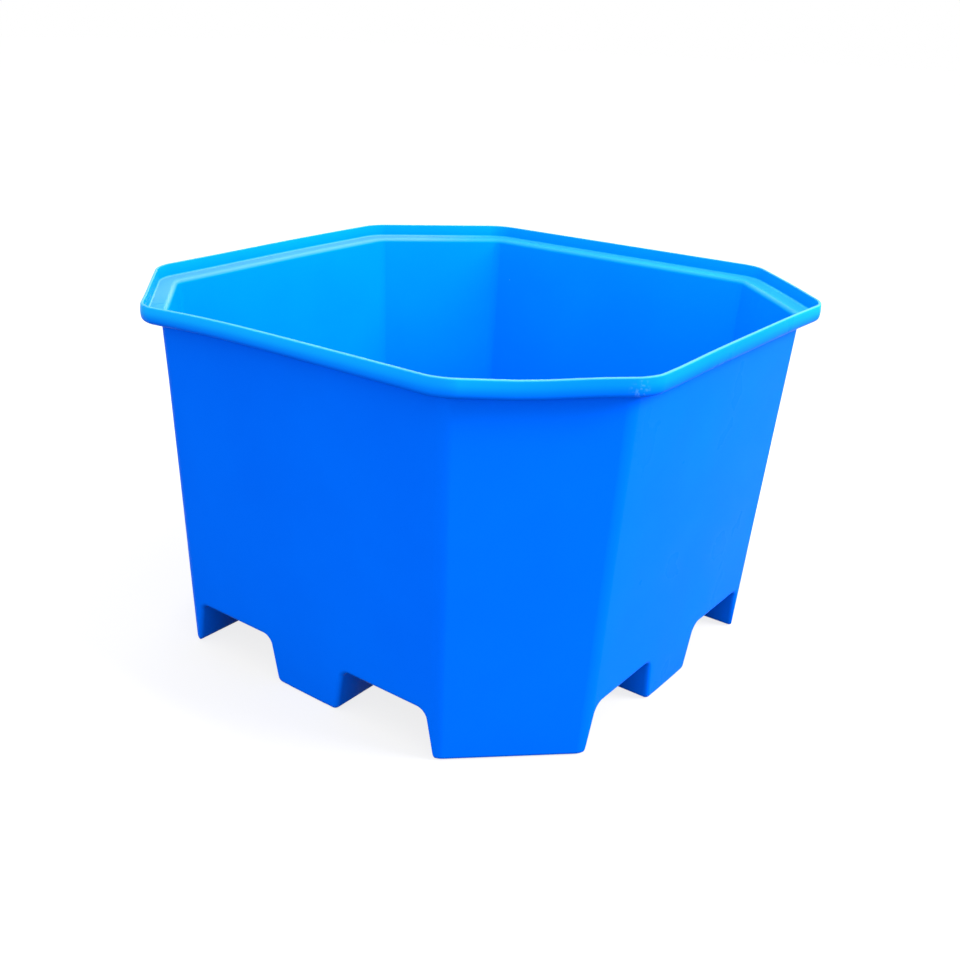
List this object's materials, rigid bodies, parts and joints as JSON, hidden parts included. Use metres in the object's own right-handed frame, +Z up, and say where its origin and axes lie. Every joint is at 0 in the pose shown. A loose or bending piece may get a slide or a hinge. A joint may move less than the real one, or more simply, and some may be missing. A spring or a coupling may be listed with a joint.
{
  "type": "pallet box",
  "caption": "Open eight-sided plastic pallet box with a stepped brim, sloping walls and hollow feet that leave fork channels on all sides.",
  "frame": {"origin": "middle of the footprint, on the surface that the feet stand on", "axes": "+Z up through the open top; X and Y run square to the long sides, along the fork channels"},
  "size_m": [1.19, 1.19, 0.75],
  "materials": {
    "blue_polyethylene": "satin moulded polyethylene, smooth, bright azure blue"
  },
  "bodies": {
    "root": {"pallet_box": "blue_polyethylene"}
  },
  "joints": []
}
